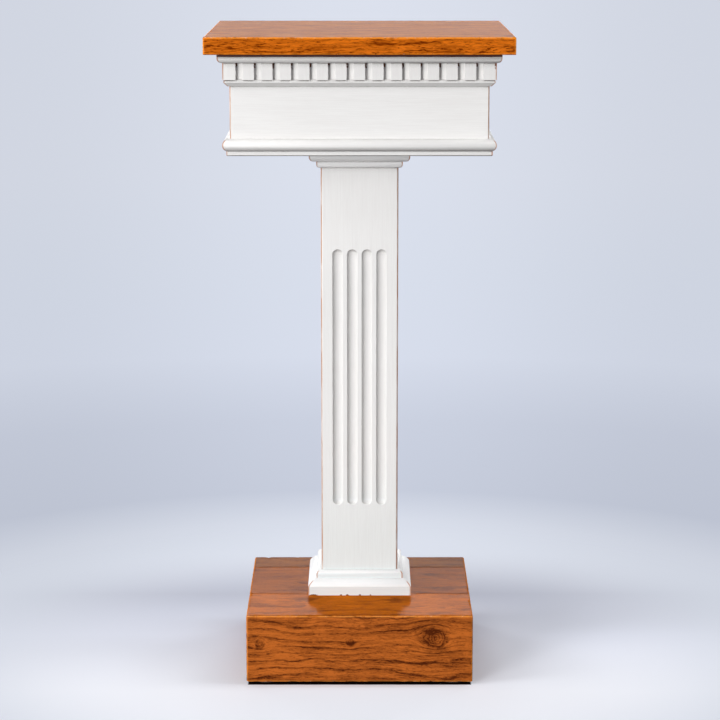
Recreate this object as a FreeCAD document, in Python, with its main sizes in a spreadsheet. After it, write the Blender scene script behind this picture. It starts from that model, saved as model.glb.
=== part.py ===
import FreeCAD, Part
import math
import os
import Sketcher

# Pedestal column stand: a solid plinth, a hollow fluted column and a boxed head with a
# dentil cornice, under a board top. Millimetres, +Z up. The origin is on the floor, on the
# axis of the column and the head. The front faces -Y. The plinth stands forward of that axis.

# Driving dimensions, one row of the sheet each.
DRIVING = {
    # Felt pads under the plinth
    "pad_thickness": 3.0,
    "pad_diameter": 30.0,
    "pad_inset": 22.0,
    # Plinth: three timbers glued edge to edge
    "plinth_width": 258.0,
    "plinth_height": 78.0,
    "plinth_forward": 16.0,
    "front_timber_depth": 93.0,
    "back_timber_depth": 49.0,
    "plinth_ease": 2.2,
    # Dowels across the plinth's two seams
    "dowel_diameter": 12.0,
    "dowel_length": 60.0,
    "dowel_spacing": 150.0,
    "dowel_gap": 0.1,
    "dowel_end_gap": 0.5,
    # Column: four mitred boards round two end blocks
    "column_width": 89.0,
    "column_length": 524.0,
    "column_board_thickness": 19.0,
    "column_ease": 2.4,
    "block_gap": 0.15,
    "block_end_margin": 12.0,
    # Flutes cut with a round-nosed tool
    "flute_radius": 6.35,
    "flute_depth": 4.5,
    "flute_pitch": 16.8,
    "flute_count": 4,
    "flute_bottom_margin": 105.0,
    "flute_top_margin": 117.5,
    # Lag screws from the plinth's counterbores into the column's bottom block
    "lag_diameter": 6.3,
    "lag_length": 76.0,
    "lag_spacing": 28.0,
    "lag_head_width": 11.0,
    "lag_head_height": 4.4,
    "lag_tip_length": 5.0,
    "washer_diameter": 18.0,
    "washer_thickness": 1.6,
    "counterbore_diameter": 22.0,
    "lag_seat_thickness": 40.0,
    "lag_clearance": 0.4,
    # Moulding round the column's foot
    "base_projection": 15.5,
    "base_foot_height": 10.4,
    "base_cove_radius": 16.0,
    "base_cove_height": 8.2,
    "base_fillet_projection": 5.9,
    "base_fillet_height": 4.4,
    "base_ovolo_radius": 4.9,
    "base_ovolo_height": 4.5,
    "base_top_projection": 1.2,
    # Two-step moulding round the column's top
    "cap_lower_projection": 4.8,
    "cap_lower_height": 7.8,
    "cap_lower_seat": 0.5,
    "cap_upper_projection": 13.0,
    "cap_upper_height": 16.2,
    "cap_upper_radius": 5.6,
    # Head: four mitred frieze boards round a bottom panel
    "head_width": 285.0,
    "head_height": 112.0,
    "frieze_thickness": 19.0,
    "frieze_ease": 2.0,
    "panel_thickness": 12.0,
    "panel_gap": 0.2,
    "corner_block_width": 25.0,
    "cleat_gap": 0.2,
    # Moulding round the head's lower edge
    "skirt_fillet_projection": 3.7,
    "skirt_fillet_height": 5.2,
    "skirt_edge_radius": 1.5,
    "skirt_bead_seat": 2.3,
    "skirt_bead_height": 13.6,
    "skirt_bead_relief": 0.1,
    # Dentil moulding
    "dentil_projection": 7.2,
    "dentil_height": 18.6,
    "dentil_end_width": 14.6,
    "dentil_gap_width": 7.7,
    "dentil_gap_depth": 4.8,
    "dentil_gap_count": 14,
    "dentil_quirk_height": 1.0,
    "dentil_quirk_depth": 2.2,
    "dentil_fillet_height": 1.8,
    "dentil_fillet_setback": 1.0,
    "dentil_bevel_height": 4.4,
    "dentil_toe_projection": 1.9,
    # Bead between the dentils and the top; its land is what it overhangs them before it curves
    "bead_overhang": 5.7,
    "bead_land": 0.2,
    "bead_height": 10.0,
    # Top: three boards glued edge to edge
    "top_overhang": 14.1,
    "top_thickness": 19.0,
    "top_ease": 1.3,
    # Countersunk wood screws
    "screw_diameter": 4.2,
    "screw_length": 38.0,
    "screw_head_diameter": 8.0,
    "screw_head_height": 2.8,
    "screw_tip_length": 4.0,
    "screw_recess": 0.3,
    "screw_reach_into_top": 13.0,
    "column_screw_inset": 12.0,
    "cleat_screw_margin": 18.0,
    "pilot_clearance": 0.1,
    "pilot_end_gap": 0.5,
}
SHEET_NAME = "Sizes"
TOP_BOARD_COUNT = 3
SIDES = {"front": 0, "right": 90, "back": 180, "left": 270}
CORNERS = {"front_left": (-1, -1), "front_right": (1, -1), "back_right": (1, 1), "back_left": (-1, 1)}
OVERSHOOT = 5.0
ROOT_TWO = math.sqrt(2.0)
SAME_PLACE = 0.001


class Size:
    """A length that carries its number and its formula over the sheet's values."""

    def __init__(self, value, formula):
        self.value = value
        self.formula = formula

    def __add__(self, other):
        other = as_size(other)
        return Size(self.value + other.value, f"({self.formula} + {other.formula})")

    def __sub__(self, other):
        other = as_size(other)
        return Size(self.value - other.value, f"({self.formula} - {other.formula})")

    def __mul__(self, other):
        other = as_size(other)
        return Size(self.value * other.value, f"({self.formula} * {other.formula})")

    def __truediv__(self, other):
        other = as_size(other)
        return Size(self.value / other.value, f"({self.formula} / {other.formula})")

    def __neg__(self):
        return Size(-self.value, f"(0 - {self.formula})")


def as_size(number):
    """A plain number becomes a Size, too."""
    if isinstance(number, Size):
        return number
    return Size(float(number), repr(float(number)))


class DrivingSizes:
    """The sheet's values as attributes, such as size.column_width."""

    def __init__(self, values):
        for name, value in values.items():
            setattr(self, name, Size(value, f"{SHEET_NAME}.{name}"))


def make_sheet(doc):
    sheet = doc.addObject("Spreadsheet::Sheet", SHEET_NAME)
    for row, (name, value) in enumerate(DRIVING.items(), start=1):
        sheet.set(f"A{row}", name)
        sheet.set(f"B{row}", str(value))
        sheet.setAlias(f"B{row}", name)


doc = FreeCAD.newDocument("PedestalColumnStand")
make_sheet(doc)
doc.recompute()
size = DrivingSizes(DRIVING)

# Heights of the four storeys, and half widths
plinth_bottom = size.pad_thickness
plinth_top = plinth_bottom + size.plinth_height
head_bottom = plinth_top + size.column_length
head_top = head_bottom + size.head_height
plinth_half = size.plinth_width / 2
column_half = size.column_width / 2
column_inner_half = column_half - size.column_board_thickness
head_half = size.head_width / 2
head_inner_half = head_half - size.frieze_thickness
bead_projection = size.dentil_projection + size.bead_overhang
top_half = head_half + bead_projection + size.top_overhang
plinth_front = -plinth_half - size.plinth_forward
plinth_back = plinth_half - size.plinth_forward
front_seam = plinth_front + size.front_timber_depth
back_seam = plinth_back - size.back_timber_depth

# How far the fasteners reach beyond the piece that their heads draw down
lag_reach = size.lag_length - size.washer_thickness - size.lag_seat_thickness
panel_screw_reach = size.screw_length + size.screw_recess - size.panel_thickness
cleat_screw_reach = size.screw_reach_into_top + size.screw_recess
counterbore_depth = size.plinth_height - size.lag_seat_thickness
cleat_height = size.screw_length - size.screw_reach_into_top
top_block_height = panel_screw_reach + size.pilot_end_gap + size.block_end_margin
bottom_block_height = lag_reach + size.pilot_end_gap + size.block_end_margin


# ---------------------------------------------------------------- building blocks

def bind(thing, prop, amount):
    """Tie a property to the sheet's values."""
    thing.setExpression(prop, as_size(amount).formula)


def new_body(name, bottom=0.0, turn=0.0):
    """A body whose own z = 0 lies at height bottom, turned about the vertical axis."""
    body = doc.addObject("PartDesign::Body", name)
    body.Label = name
    rotation = FreeCAD.Rotation(FreeCAD.Vector(0, 0, 1), turn)
    body.Placement = FreeCAD.Placement(FreeCAD.Vector(0, 0, as_size(bottom).value), rotation)
    bind(body, "Placement.Base.z", bottom)
    return body


def origin_feature(body, role):
    return next(feature for feature in body.Origin.OriginFeatures if feature.Role == role)


def new_sketch(body, name, role, offset=(0.0, 0.0, 0.0)):
    """A sketch on an origin plane, moved by offset along the plane's own x, y and normal."""
    sketch = body.newObject("Sketcher::SketchObject", f"{body.Name}_{name}")
    sketch.AttachmentSupport = [(origin_feature(body, role), "")]
    sketch.MapMode = "FlatFace"
    offset = [as_size(part) for part in offset]
    sketch.AttachmentOffset = FreeCAD.Placement(
        FreeCAD.Vector(*[part.value for part in offset]), FreeCAD.Rotation())
    for axis, part in zip("xyz", offset):
        bind(sketch, f"AttachmentOffset.Base.{axis}", part)
    return sketch


def constrain(sketch, kind, *where_and_amount):
    """A dimension of the sketch, tied to the sheet."""
    *where, amount = where_and_amount
    index = sketch.addConstraint(Sketcher.Constraint(kind, *where, as_size(amount).value))
    bind(sketch, f"Constraints[{index}]", amount)


def arc_centre(start, end, radius, turn):
    """Centre of the arc of under a half circle that leaves start with its centre on the left
    (turn 1) or on the right (turn -1)."""
    chord = end - start
    height = math.sqrt(radius ** 2 - (chord.Length / 2) ** 2)
    left = FreeCAD.Vector(-chord.y, chord.x, 0).normalize()
    return (start + end) / 2 + left * (turn * height)


def add_segment(sketch, start, end, arc):
    """One line or arc; returns its index and which of its ends is the outline's start."""
    if arc is None:
        return sketch.addGeometry(Part.LineSegment(start, end), False), 1
    radius, turn = arc
    centre = arc_centre(start, end, radius.value, turn)
    first, last = (start, end) if turn > 0 else (end, start)
    angles = [math.atan2(point.y - centre.y, point.x - centre.x) for point in (first, last)]
    circle = Part.Circle(centre, FreeCAD.Vector(0, 0, 1), radius.value)
    index = sketch.addGeometry(Part.ArcOfCircle(circle, *angles), False)
    return index, 1 if turn > 0 else 2


def draw_outline(sketch, corners):
    """Closed outline. Each corner is (x, y), or (x, y, (radius, turn)) where an arc comes next."""
    points = []
    arcs = []
    for x, y, *arc in corners:
        points.append((as_size(x), as_size(y)))
        arcs.append((as_size(arc[0][0]), arc[0][1]) if arc else None)
    places = [FreeCAD.Vector(x.value, y.value, 0) for x, y in points]
    following = places[1:] + places[:1]
    segments = [add_segment(sketch, *ends) for ends in zip(places, following, arcs)]
    for number, (index, start_end) in enumerate(segments):
        next_index, next_start = segments[(number + 1) % len(segments)]
        far_end = 3 - start_end
        sketch.addConstraint(Sketcher.Constraint("Coincident", index, far_end, next_index, next_start))
        x, y = points[number]
        constrain(sketch, "DistanceX", -1, 1, index, start_end, x)
        constrain(sketch, "DistanceY", -1, 1, index, start_end, y)
        if arcs[number] is not None:
            constrain(sketch, "Radius", index, arcs[number][0])


def draw_circles(sketch, centres, diameter):
    for x, y in centres:
        centre = FreeCAD.Vector(as_size(x).value, as_size(y).value, 0)
        circle = Part.Circle(centre, FreeCAD.Vector(0, 0, 1), as_size(diameter).value / 2)
        index = sketch.addGeometry(circle, False)
        constrain(sketch, "DistanceX", -1, 1, index, 3, x)
        constrain(sketch, "DistanceY", -1, 1, index, 3, y)
        constrain(sketch, "Diameter", index, diameter)


def rectangle(left, right, low, high):
    return [(left, low), (right, low), (right, high), (left, high)]


def pad(body, sketch, length, midplane=False):
    feature = body.newObject("PartDesign::Pad", f"{sketch.Name}_pad")
    feature.Profile = sketch
    feature.Midplane = midplane
    bind(feature, "Length", length)
    doc.recompute()
    return feature


def check_cut(body, volume_before, name):
    doc.recompute()
    if body.Shape.Volume > volume_before - SAME_PLACE:
        raise RuntimeError(f"{name} removes nothing from {body.Name}")


def pocket(body, sketch, depth=None, reverse=False):
    """A pocket of the given depth, or one right through both ways."""
    volume_before = body.Shape.Volume
    feature = body.newObject("PartDesign::Pocket", f"{sketch.Name}_pocket")
    feature.Profile = sketch
    feature.Reversed = reverse
    if depth is None:
        feature.Type = "ThroughAll"
        feature.Midplane = True
    else:
        bind(feature, "Length", depth)
    check_cut(body, volume_before, feature.Name)
    return feature


def groove(body, sketch):
    """A full turn about the sketch's own vertical axis."""
    volume_before = body.Shape.Volume
    feature = body.newObject("PartDesign::Groove", f"{sketch.Name}_groove")
    feature.Profile = sketch
    feature.ReferenceAxis = (sketch, ["V_Axis"])
    feature.Angle = 360.0
    check_cut(body, volume_before, feature.Name)
    return feature


def turn_solid(body, sketch):
    """A full turn of the sketch about its own vertical axis."""
    feature = body.newObject("PartDesign::Revolution", f"{sketch.Name}_turned")
    feature.Profile = sketch
    feature.ReferenceAxis = (sketch, ["V_Axis"])
    feature.Angle = 360.0
    doc.recompute()


def repeat_along(body, feature, role, span, count):
    """A row of the last cut: count in all, over span."""
    volume_before = body.Shape.Volume
    pattern = body.newObject("PartDesign::LinearPattern", f"{feature.Name}_row")
    pattern.Originals = [feature]
    pattern.Direction = (origin_feature(body, role), [""])
    bind(pattern, "Length", span)
    bind(pattern, "Occurrences", count)
    body.Tip = pattern
    check_cut(body, volume_before, pattern.Name)


def ease_outer_edges(body, feature, radius, seams):
    """Round every edge but those that lie on a seam, a plane of constant y."""
    names = []
    for number, edge in enumerate(feature.Shape.Edges, start=1):
        middle = edge.CenterOfMass
        if all(abs(middle.y - seam.value) > SAME_PLACE for seam in seams):
            names.append(f"Edge{number}")
    fillet = body.newObject("PartDesign::Fillet", f"{body.Name}_ease")
    fillet.Base = (feature, names)
    bind(fillet, "Radius", radius)
    doc.recompute()


def drill(body, name, role, offset, centres, diameter, depth, reverse=False):
    sketch = new_sketch(body, name, role, offset)
    draw_circles(sketch, centres, diameter)
    return pocket(body, sketch, depth, reverse)


def group_of(name, bodies):
    """Identical fasteners as one node of separate solids."""
    group = doc.addObject("Part::Compound", name)
    group.Label = name
    group.Links = bodies
    doc.recompute()
    return group


# ---------------------------------------------------------------- repeated pieces

def mitred_board(name, side, half, thickness, ease, height, bottom):
    """An upright board of a square box, mitred at both ends, its outer corners eased."""
    body = new_body(name, bottom, SIDES[side])
    inner = half - thickness
    mitre_end = half - ease * (1 - 1 / ROOT_TWO)
    sketch = new_sketch(body, "plan", "XY_Plane")
    draw_outline(sketch, [
        (-inner, -inner),
        (inner, -inner),
        (mitre_end, -mitre_end, (ease, -1)),
        (half - ease, -half),
        (-(half - ease), -half, (ease, -1)),
        (-mitre_end, -mitre_end),
    ])
    pad(body, sketch, height)
    return body


def mitred_strip(name, side, bottom, inner, reach, profile):
    """A moulding on one side of a square box. The profile's points are (projection, height)
    from the box's face, which lies at inner; reach is at least its largest projection."""
    body = new_body(name, bottom, SIDES[side])
    section = new_sketch(body, "section", "YZ_Plane")
    draw_outline(section, [(-(inner + out), up, *arc) for out, up, *arc in profile])
    outer = inner + reach
    pad(body, section, outer * 2, midplane=True)
    mitres = new_sketch(body, "mitres", "XY_Plane")
    near = inner - OVERSHOOT
    far = outer + OVERSHOOT
    for hand in (1, -1):
        draw_outline(mitres, [(near * hand, -near), (far * hand, -far), (far * hand, -near)])
    pocket(body, mitres)
    return body


def wood_screw(name, x, y, head_level, upward):
    """A countersunk screw; its head's flat lies at head_level and its shank goes up or down."""
    way = 1 if upward else -1
    body = new_body(name, head_level)
    sketch = new_sketch(body, "section", "XZ_Plane")
    shank = size.screw_diameter / 2
    draw_outline(sketch, [
        (0, 0),
        (size.screw_head_diameter / 2, 0),
        (shank, size.screw_head_height * way),
        (shank, (size.screw_length - size.screw_tip_length) * way),
        (0, size.screw_length * way),
    ])
    turn_solid(body, sketch)
    bind(body, "Placement.Base.x", x)
    bind(body, "Placement.Base.y", y)
    return body


def screw_hole(body, name, x, y, head_level, upward, start, end):
    """The hole for a wood screw from level start to level end, in the body's own heights. It is
    countersunk where the head's flat is at head_level, and plain where that is None."""
    way = 1 if upward else -1
    shank = size.screw_diameter / 2 + size.pilot_clearance
    head = size.screw_head_diameter / 2 + size.pilot_clearance
    mouth = [(shank, start)]
    if head_level is not None:
        mouth = [(head, start), (head, head_level), (shank, head_level + size.screw_head_height * way)]
    sketch = new_sketch(body, name, "XZ_Plane", (x, 0, -y))
    draw_outline(sketch, [(0, start), *mouth, (shank, end), (0, end)])
    return groove(body, sketch)


# ---------------------------------------------------------------- plinth

def glued_board(name, bottom, half, front, back, seams, thickness, ease):
    """A board of an edge-glued slab, its outer edges eased and its seams left sharp."""
    body = new_body(name, bottom)
    plan = new_sketch(body, "plan", "XY_Plane")
    draw_outline(plan, rectangle(-half, half, front, back))
    slab = pad(body, plan, thickness)
    ease_outer_edges(body, slab, ease, seams)
    return body


def timber(name, front, back, seams):
    return glued_board(name, plinth_bottom, plinth_half, front, back, seams,
                       size.plinth_height, size.plinth_ease)


def dowel_places():
    """The x of each dowel; their height is the middle of the timbers."""
    return [-size.dowel_spacing / 2, size.dowel_spacing / 2]


def drill_for_dowels(body, name, seam, towards_back):
    """Blind holes from a seam into one of its timbers, along Y."""
    depth = size.dowel_length / 2 + size.dowel_end_gap
    centres = [(x, size.plinth_height / 2) for x in dowel_places()]
    diameter = size.dowel_diameter + size.dowel_gap * 2
    drill(body, name, "XZ_Plane", (0, 0, -seam), centres, diameter, depth, reverse=not towards_back)


def plinth():
    front = timber("plinth_front_timber", plinth_front, front_seam, [front_seam])
    middle = timber("plinth_middle_timber", front_seam, back_seam, [front_seam, back_seam])
    back = timber("plinth_back_timber", back_seam, plinth_back, [back_seam])
    drill_for_dowels(front, "dowel_holes", front_seam, towards_back=False)
    drill_for_dowels(middle, "front_dowel_holes", front_seam, towards_back=True)
    drill_for_dowels(middle, "back_dowel_holes", back_seam, towards_back=False)
    drill_for_dowels(back, "dowel_holes", back_seam, towards_back=True)
    centres = [(x, 0) for x in lag_places()]
    drill(middle, "counterbores", "XY_Plane", (0, 0, 0), centres,
          size.counterbore_diameter, counterbore_depth, reverse=True)
    drill(middle, "lag_holes", "XY_Plane", (0, 0, 0), centres,
          size.lag_diameter + size.lag_clearance, size.plinth_height, reverse=True)
    return [front, middle, back, plinth_dowels()]


def plinth_dowels():
    dowels = []
    for row, seam in (("front", front_seam), ("back", back_seam)):
        for number, x in enumerate(dowel_places(), start=1):
            body = new_body(f"dowel_{row}_{number}", plinth_bottom + size.plinth_height / 2)
            end = new_sketch(body, "end", "XZ_Plane", (x, 0, -seam))
            draw_circles(end, [(0, 0)], size.dowel_diameter)
            pad(body, end, size.dowel_length, midplane=True)
            dowels.append(body)
    return group_of("plinth_dowels", dowels)


def felt_pads():
    pads = []
    for corner, (across, along) in CORNERS.items():
        body = new_body(f"felt_pad_{corner}")
        disc = new_sketch(body, "disc", "XY_Plane")
        reach = plinth_half - size.pad_inset
        draw_circles(disc, [(reach * across, reach * along - size.plinth_forward)], size.pad_diameter)
        pad(body, disc, size.pad_thickness)
        pads.append(body)
    return pads


# ---------------------------------------------------------------- column

def column_boards():
    """Four boards, each with a row of stopped flutes on its face."""
    axis_reach = column_half + size.flute_radius - size.flute_depth
    length = size.column_length - size.flute_bottom_margin - size.flute_top_margin
    row_span = size.flute_pitch * (size.flute_count - 1)
    radius = size.flute_radius
    boards = []
    for side in SIDES:
        body = mitred_board(f"column_board_{side}", side, column_half, size.column_board_thickness,
                            size.column_ease, size.column_length, plinth_top)
        nose = new_sketch(body, "flute", "YZ_Plane",
                          (-axis_reach, size.flute_bottom_margin, -row_span / 2))
        draw_outline(nose, [
            (0, 0, (radius, 1)),
            (radius, radius),
            (radius, length - radius, (radius, 1)),
            (0, length),
        ])
        repeat_along(body, groove(body, nose), "X_Axis", row_span, size.flute_count)
        boards.append(body)
    return boards


def end_block(name, height, bottom):
    body = new_body(name, bottom)
    half = column_inner_half - size.block_gap
    plan = new_sketch(body, "plan", "XY_Plane")
    draw_outline(plan, rectangle(-half, half, -half, half))
    pad(body, plan, height)
    return body


def column_end_blocks():
    top_block = end_block("column_top_block", top_block_height, head_bottom - top_block_height)
    for number, (x, y) in enumerate(column_screw_places(), start=1):
        screw_hole(top_block, f"pilot_{number}", x, y, None, False,
                   top_block_height, size.block_end_margin)
    bottom_block = end_block("column_bottom_block", bottom_block_height, plinth_top)
    drill(bottom_block, "pilots", "XY_Plane", (0, 0, 0), [(x, 0) for x in lag_places()],
          size.lag_diameter + size.pilot_clearance * 2, lag_reach + size.pilot_end_gap, reverse=True)
    return [top_block, bottom_block]


def hexagon(across_flats):
    corner = across_flats / math.sqrt(3.0)
    angles = [math.radians(angle) for angle in range(0, 360, 60)]
    return [(corner * math.cos(angle), corner * math.sin(angle)) for angle in angles]


def lag_places():
    return [-size.lag_spacing / 2, size.lag_spacing / 2]


def lag_screws_and_washers():
    """Hexagon-headed lag screws, each on a washer at the top of its counterbore."""
    seat = plinth_bottom + counterbore_depth
    screws = []
    washers = []
    for number, x in enumerate(lag_places(), start=1):
        washer = new_body(f"washer_{number}", seat - size.washer_thickness)
        ring = new_sketch(washer, "ring", "XY_Plane")
        draw_circles(ring, [(x, 0)], size.washer_diameter)
        draw_circles(ring, [(x, 0)], size.lag_diameter + size.lag_clearance)
        pad(washer, ring, size.washer_thickness)
        washers.append(washer)

        screw = new_body(f"lag_screw_{number}", seat - size.washer_thickness)
        shank = new_sketch(screw, "shank", "XZ_Plane", (x, 0, 0))
        radius = size.lag_diameter / 2
        draw_outline(shank, [
            (0, 0),
            (radius, 0),
            (radius, size.lag_length - size.lag_tip_length),
            (0, size.lag_length),
        ])
        turn_solid(screw, shank)
        head = new_sketch(screw, "head", "XY_Plane", (x, 0, -size.lag_head_height))
        draw_outline(head, hexagon(size.lag_head_width))
        pad(screw, head, size.lag_head_height)
        screws.append(screw)
    return [group_of("plinth_lag_screws", screws), group_of("plinth_washers", washers)]


def column_base_mouldings():
    """Foot, cove, fillet and ovolo, from the plinth up."""
    fillet_bottom = size.base_foot_height + size.base_cove_height
    fillet_top = fillet_bottom + size.base_fillet_height
    height = fillet_top + size.base_ovolo_height
    profile = [
        (0, 0),
        (size.base_projection, 0),
        (size.base_projection, size.base_foot_height, (size.base_cove_radius, -1)),
        (size.base_fillet_projection, fillet_bottom),
        (size.base_fillet_projection, fillet_top, (size.base_ovolo_radius, -1)),
        (size.base_top_projection, height),
        (0, height),
    ]
    return [mitred_strip(f"column_base_moulding_{side}", side, plinth_top, column_half,
                         size.base_projection, profile) for side in SIDES]


def column_cap_mouldings():
    """Two ovolo steps under the head."""
    height = size.cap_lower_height + size.cap_upper_height
    lower = size.cap_lower_projection
    lower_radius = lower - size.cap_lower_seat
    upper = size.cap_upper_projection
    profile = [
        (0, 0),
        (size.cap_lower_seat, 0, (lower_radius, -1)),
        (lower, lower_radius),
        (lower, size.cap_lower_height),
        (upper - size.cap_upper_radius, size.cap_lower_height, (size.cap_upper_radius, -1)),
        (upper, size.cap_lower_height + size.cap_upper_radius),
        (upper, height),
        (0, height),
    ]
    return [mitred_strip(f"column_cap_moulding_{side}", side, head_bottom - height, column_half,
                         upper, profile) for side in SIDES]


# ---------------------------------------------------------------- head

def frieze_boards():
    return [mitred_board(f"frieze_board_{side}", side, head_half, size.frieze_thickness,
                         size.frieze_ease, size.head_height, head_bottom) for side in SIDES]


def head_skirt_mouldings():
    """Fillet with a bead above it, round the head's lower edge."""
    fillet = size.skirt_fillet_projection
    bead_top = size.skirt_fillet_height + size.skirt_bead_height
    bead_radius = size.skirt_bead_height / 2 + size.skirt_bead_relief
    profile = [
        (0, 0),
        (fillet - size.skirt_edge_radius, 0, (size.skirt_edge_radius, -1)),
        (fillet, size.skirt_edge_radius),
        (fillet, size.skirt_fillet_height),
        (size.skirt_bead_seat, size.skirt_fillet_height, (bead_radius, -1)),
        (size.skirt_bead_seat, bead_top),
        (0, bead_top),
    ]
    reach = size.skirt_bead_seat + bead_radius
    return [mitred_strip(f"head_skirt_moulding_{side}", side, head_bottom, head_half,
                         reach, profile) for side in SIDES]


def dentil_mouldings():
    """Bevel, fillet and quirk under a band cut into dentils."""
    fillet_bottom = size.dentil_bevel_height
    quirk_bottom = fillet_bottom + size.dentil_fillet_height
    band_bottom = quirk_bottom + size.dentil_quirk_height
    height = band_bottom + size.dentil_height
    bottom = head_top - size.bead_height - height
    fillet = size.dentil_projection - size.dentil_fillet_setback
    quirk = size.dentil_projection - size.dentil_quirk_depth
    profile = [
        (0, 0),
        (size.dentil_toe_projection, 0),
        (fillet, fillet_bottom),
        (fillet, quirk_bottom),
        (quirk, quirk_bottom),
        (quirk, band_bottom),
        (size.dentil_projection, band_bottom),
        (size.dentil_projection, height),
        (0, height),
    ]
    face = head_half + size.dentil_projection
    first_gap = -face + size.dentil_end_width
    row_span = face * 2 - size.dentil_end_width * 2 - size.dentil_gap_width
    strips = []
    for side in SIDES:
        body = mitred_strip(f"dentil_moulding_{side}", side, bottom, head_half,
                            size.dentil_projection, profile)
        gap = new_sketch(body, "gap", "XY_Plane", (0, 0, height))
        draw_outline(gap, rectangle(first_gap, first_gap + size.dentil_gap_width,
                                    -face - OVERSHOOT, -face + size.dentil_gap_depth))
        cut = pocket(body, gap, size.dentil_height)
        repeat_along(body, cut, "X_Axis", row_span, size.dentil_gap_count)
        strips.append(body)
    return strips


def cornice_beads():
    """The projecting bead right under the top."""
    radius = size.bead_overhang - size.bead_land
    profile = [
        (0, 0),
        (size.dentil_projection + size.bead_land, 0, (radius, -1)),
        (bead_projection, radius),
        (bead_projection, size.bead_height),
        (0, size.bead_height),
    ]
    return [mitred_strip(f"cornice_bead_{side}", side, head_top - size.bead_height, head_half,
                         bead_projection, profile) for side in SIDES]


def signed(part, sign):
    return part if sign > 0 else -part


def column_screw_places():
    reach = column_inner_half - size.block_gap - size.column_screw_inset
    return [(signed(reach, across), signed(reach, along)) for across, along in CORNERS.values()]


def corner_screw_places():
    reach = head_inner_half - size.corner_block_width / 2
    return [(signed(reach, across), signed(reach, along)) for across, along in CORNERS.values()]


def head_bottom_panel():
    """Holds the column's top block from above and the corner blocks from below."""
    body = new_body("head_bottom_panel", head_bottom)
    half = head_inner_half - size.panel_gap
    plan = new_sketch(body, "plan", "XY_Plane")
    draw_outline(plan, rectangle(-half, half, -half, half))
    pad(body, plan, size.panel_thickness)
    top_face = size.panel_thickness
    for number, (x, y) in enumerate(column_screw_places(), start=1):
        screw_hole(body, f"column_hole_{number}", x, y, top_face - size.screw_recess, False,
                   top_face, 0)
    for number, (x, y) in enumerate(corner_screw_places(), start=1):
        screw_hole(body, f"corner_hole_{number}", x, y, size.screw_recess, True, 0, top_face)
    return body


def head_corner_blocks():
    """Upright glue blocks in the head's corners, each on the panel and under the top."""
    blocks = []
    for corner, (across, along) in CORNERS.items():
        body = new_body(f"head_corner_block_{corner}", head_bottom + size.panel_thickness)
        plan = new_sketch(body, "plan", "XY_Plane")
        outer = head_inner_half
        inner = head_inner_half - size.corner_block_width
        draw_outline(plan, [
            (signed(inner, across), signed(inner, along)),
            (signed(outer, across), signed(inner, along)),
            (signed(outer, across), signed(outer, along)),
            (signed(inner, across), signed(outer, along)),
        ])
        pad(body, plan, size.head_height - size.panel_thickness)
        middle = head_inner_half - size.corner_block_width / 2
        screw_hole(body, "pilot", signed(middle, across), signed(middle, along), None, True,
                   0, panel_screw_reach + size.pilot_end_gap)
        blocks.append(body)
    return blocks


def cleat_half():
    return head_inner_half - size.corner_block_width - size.cleat_gap


def top_cleats():
    """Battens inside the head's left and right boards, screwed up into the top."""
    cleats = []
    end = cleat_half()
    inner = head_inner_half - size.corner_block_width
    middle = head_inner_half - size.corner_block_width / 2
    outer_screw = end - size.cleat_screw_margin
    for side, across in (("left", -1), ("right", 1)):
        body = new_body(f"top_cleat_{side}", head_top - cleat_height)
        plan = new_sketch(body, "plan", "XY_Plane")
        draw_outline(plan, [
            (signed(inner, across), -end),
            (signed(head_inner_half, across), -end),
            (signed(head_inner_half, across), end),
            (signed(inner, across), end),
        ])
        pad(body, plan, cleat_height)
        hole = screw_hole(body, "screw_hole", signed(middle, across), -outer_screw,
                          size.screw_recess, True, 0, cleat_height)
        repeat_along(body, hole, "Y_Axis", outer_screw * 2, TOP_BOARD_COUNT)
        cleats.append(body)
    return cleats


def cleat_screw_places():
    middle = head_inner_half - size.corner_block_width / 2
    outer_screw = cleat_half() - size.cleat_screw_margin
    return [(signed(middle, across), outer_screw * step) for across in (-1, 1) for step in (-1, 0, 1)]


def head_screws():
    panel_top = head_bottom + size.panel_thickness
    column_screws = [
        wood_screw(f"column_screw_{number}", x, y, panel_top - size.screw_recess, False)
        for number, (x, y) in enumerate(column_screw_places(), start=1)
    ]
    corner_screws = [
        wood_screw(f"corner_screw_{number}", x, y, head_bottom + size.screw_recess, True)
        for number, (x, y) in enumerate(corner_screw_places(), start=1)
    ]
    cleat_screws = [
        wood_screw(f"cleat_screw_{number}", x, y, head_top - cleat_height + size.screw_recess, True)
        for number, (x, y) in enumerate(cleat_screw_places(), start=1)
    ]
    return [
        group_of("column_top_screws", column_screws),
        group_of("bottom_panel_screws", corner_screws),
        group_of("top_cleat_screws", cleat_screws),
    ]


# ---------------------------------------------------------------- top

def top_boards():
    """Three boards, front to back, their outer edges eased and their seams left sharp."""
    depth = top_half * 2 / TOP_BOARD_COUNT
    pilot_depth = cleat_screw_reach + size.pilot_end_gap
    boards = []
    for number, name in enumerate(("front", "middle", "back")):
        front = -top_half + depth * number
        back = front + depth
        seams = {"front": [back], "middle": [front, back], "back": [front]}[name]
        body = glued_board(f"top_board_{name}", head_top, top_half, front, back, seams,
                           size.top_thickness, size.top_ease)
        for hand, (x, y) in enumerate(cleat_screw_places()[number::TOP_BOARD_COUNT], start=1):
            screw_hole(body, f"pilot_{hand}", x, y, None, True, 0, pilot_depth)
        boards.append(body)
    return boards


def check(nodes):
    """Refuse a failed object or a bad shape before anything is written."""
    for item in doc.Objects:
        if "Invalid" in item.State or "Error" in item.State:
            raise RuntimeError(f"{item.Name} failed: {item.State}")
    for node in nodes:
        if node.Shape.isNull() or not node.Shape.isValid() or not node.Shape.Solids:
            raise RuntimeError(f"{node.Label} has a bad shape")


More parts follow.
